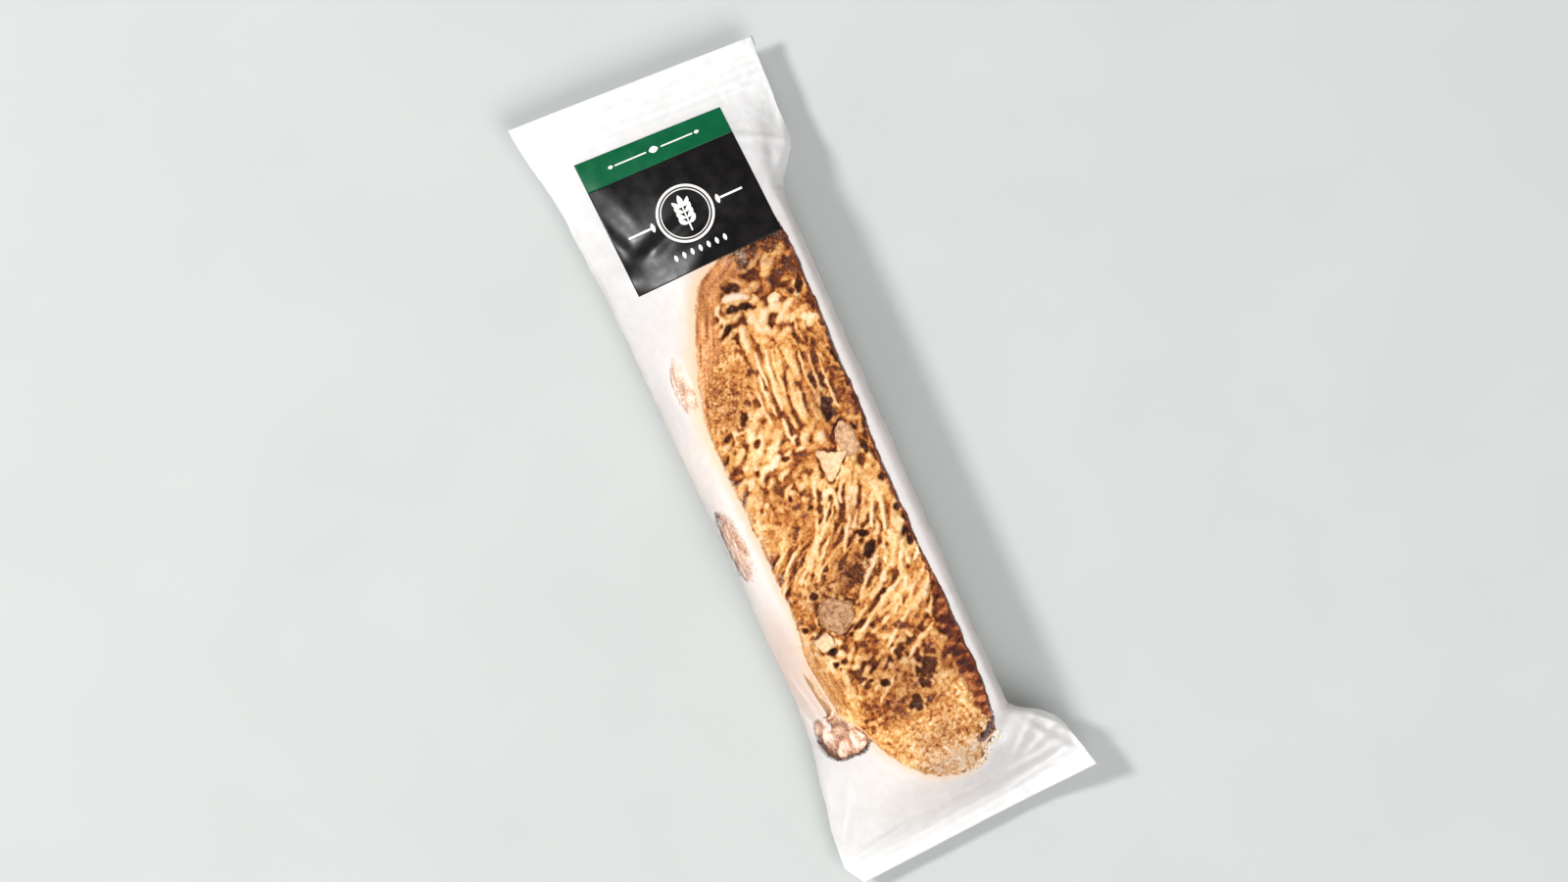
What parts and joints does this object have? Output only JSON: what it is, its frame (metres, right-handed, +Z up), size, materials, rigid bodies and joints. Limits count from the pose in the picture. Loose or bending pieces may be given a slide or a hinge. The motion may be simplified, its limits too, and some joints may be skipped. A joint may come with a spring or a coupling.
{
  "type": "wrapped biscotti",
  "caption": "Long almond biscotti slice sealed in a film flow wrapper, crimped flat at both ends, with a printed label patch and a folded back seam.",
  "frame": {"origin": "on the surface the pack lies on, under the middle of its bounding box", "axes": "+X across the pack, +Y along it towards the label, +Z up through the cut face that the label is on"},
  "size_m": [0.062, 0.1888, 0.0196],
  "materials": {
    "film": "thin clear film, milky where it stands off what it holds, soft gloss",
    "label_green": "printed on the film, soft gloss",
    "label_black": "printed on the film, soft gloss",
    "biscuit": "baked crumb and crust, matte",
    "almond": "toasted almond, matte"
  },
  "bodies": {
    "root": {"wrapper": "film", "label_band": "label_green", "label_panel": "label_black"}
  },
  "joints": []
}
